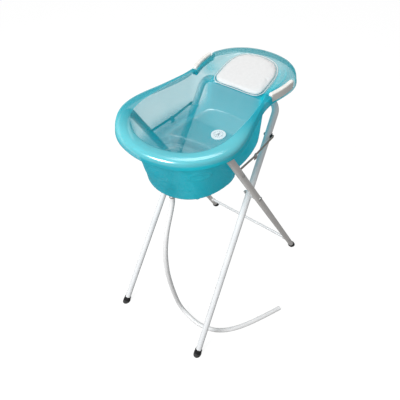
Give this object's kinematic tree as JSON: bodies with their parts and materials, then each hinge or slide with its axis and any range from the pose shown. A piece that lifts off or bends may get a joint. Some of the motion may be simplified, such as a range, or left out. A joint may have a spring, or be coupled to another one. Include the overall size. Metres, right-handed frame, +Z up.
{
  "type": "baby bathtub on folding stand",
  "caption": "Anatomical moulded baby bathtub with head pad, grips and drain hose, resting on a folding X stand of bent tube with locking side stays.",
  "frame": {"origin": "bottom centre of the whole object's box: on the floor, near the point below the main pivot", "axes": "+Z up, +X towards the head end of the tub, +Y to the side away from the hose"},
  "size_m": [0.8326, 0.6718, 1.0371],
  "materials": {
    "tub": "translucent turquoise, glossy",
    "pad": "soft pale foam",
    "handle": "satin white",
    "screw": "bright",
    "disc": "gloss white",
    "dial": "pale grey printed dial",
    "fitting": "dark teal",
    "gasket": "black",
    "nut": "grey",
    "plug": "dark teal",
    "hose": "light grey, ribbed",
    "clip": "spring steel",
    "paint": "white powder coat",
    "collar": "pale grey",
    "foot": "black",
    "clipblack": "black nylon",
    "stay": "dull dark steel"
  },
  "bodies": {
    "outer_frame": {"outer_frame_tube": "paint", "lower_cross_tube": "paint", "cross_tube_collars": "collar", "cross_tube_screws": "screw", "outer_foot_left": "foot", "outer_foot_right": "foot", "pivot_bolt_left": "screw", "pivot_bolt_right": "screw", "pivot_nut_left": "screw", "pivot_nut_right": "screw", "pivot_spacers": "collar", "stay_pins_outer": "screw"},
    "inner_frame": {"inner_frame_tube": "paint", "inner_foot_left": "foot", "inner_foot_right": "foot", "stay_clips": "clipblack", "stay_pins_inner": "screw"},
    "stay_low_left": {"stay_lower_left": "stay", "knuckle_rivet_outer_left": "screw"},
    "stay_low_right": {"stay_lower_right": "stay", "knuckle_rivet_outer_right": "screw"},
    "stay_up_left": {"stay_upper_left": "stay", "knuckle_rivet_inner_left": "screw"},
    "stay_up_right": {"stay_upper_right": "stay", "knuckle_rivet_inner_right": "screw"},
    "tub": {"tub_shell": "tub", "headrest_pad": "pad", "handle_left": "handle", "handle_right": "handle", "handle_screws": "screw", "temperature_disc": "disc", "disc_dial": "dial", "drain_fitting": "fitting", "drain_gasket": "gasket", "drain_nut": "nut", "drain_hose": "hose", "hose_clip": "clip"},
    "plug": {"drain_plug": "plug"}
  },
  "joints": [
    {"name": "stand_fold", "type": "hinge", "parent": "outer_frame", "child": "inner_frame", "pos_m": [-0.02431, 0.06588, 0.664], "axis": [0, -1, 0], "range_deg": [0, 58]},
    {"name": "tub_lift", "type": "slide", "parent": "outer_frame", "child": "tub", "axis": [0, 0, 1], "range_m": [0, 2.04], "deforming": ["drain_hose"]},
    {"name": "plug_lift", "type": "slide", "parent": "tub", "child": "plug", "axis": [-0.0565, 0, 0.9984], "range_m": [0, 0.08]},
    {"name": "stay_low_left_turn", "type": "hinge", "parent": "outer_frame", "child": "stay_low_left", "pos_m": [-0.1464, 0.25288, 0.85656], "axis": [0, -1, 0], "range_deg": [-54.41, 0]},
    {"name": "stay_up_left_turn", "type": "hinge", "parent": "inner_frame", "child": "stay_up_left", "pos_m": [0.08736, 0.25088, 0.86278], "axis": [0, -1, 0], "range_deg": [0, 54.41]},
    {"name": "stay_low_right_turn", "type": "hinge", "parent": "outer_frame", "child": "stay_low_right", "pos_m": [-0.1464, -0.12112, 0.85656], "axis": [0, -1, 0], "range_deg": [-54.41, 0]},
    {"name": "stay_up_right_turn", "type": "hinge", "parent": "inner_frame", "child": "stay_up_right", "pos_m": [0.08736, -0.11912, 0.86278], "axis": [0, -1, 0], "range_deg": [0, 54.41]}
  ],
  "couplings": [
    {"joint": "tub_lift", "follows": "stand_fold", "m_per_rad": 2},
    {"joint": "stay_low_left_turn", "follows": "stand_fold", "ratio": -0.93784},
    {"joint": "stay_up_left_turn", "follows": "stand_fold", "ratio": 0.93784},
    {"joint": "stay_low_right_turn", "follows": "stand_fold", "ratio": -0.93784},
    {"joint": "stay_up_right_turn", "follows": "stand_fold", "ratio": 0.93784}
  ]
}
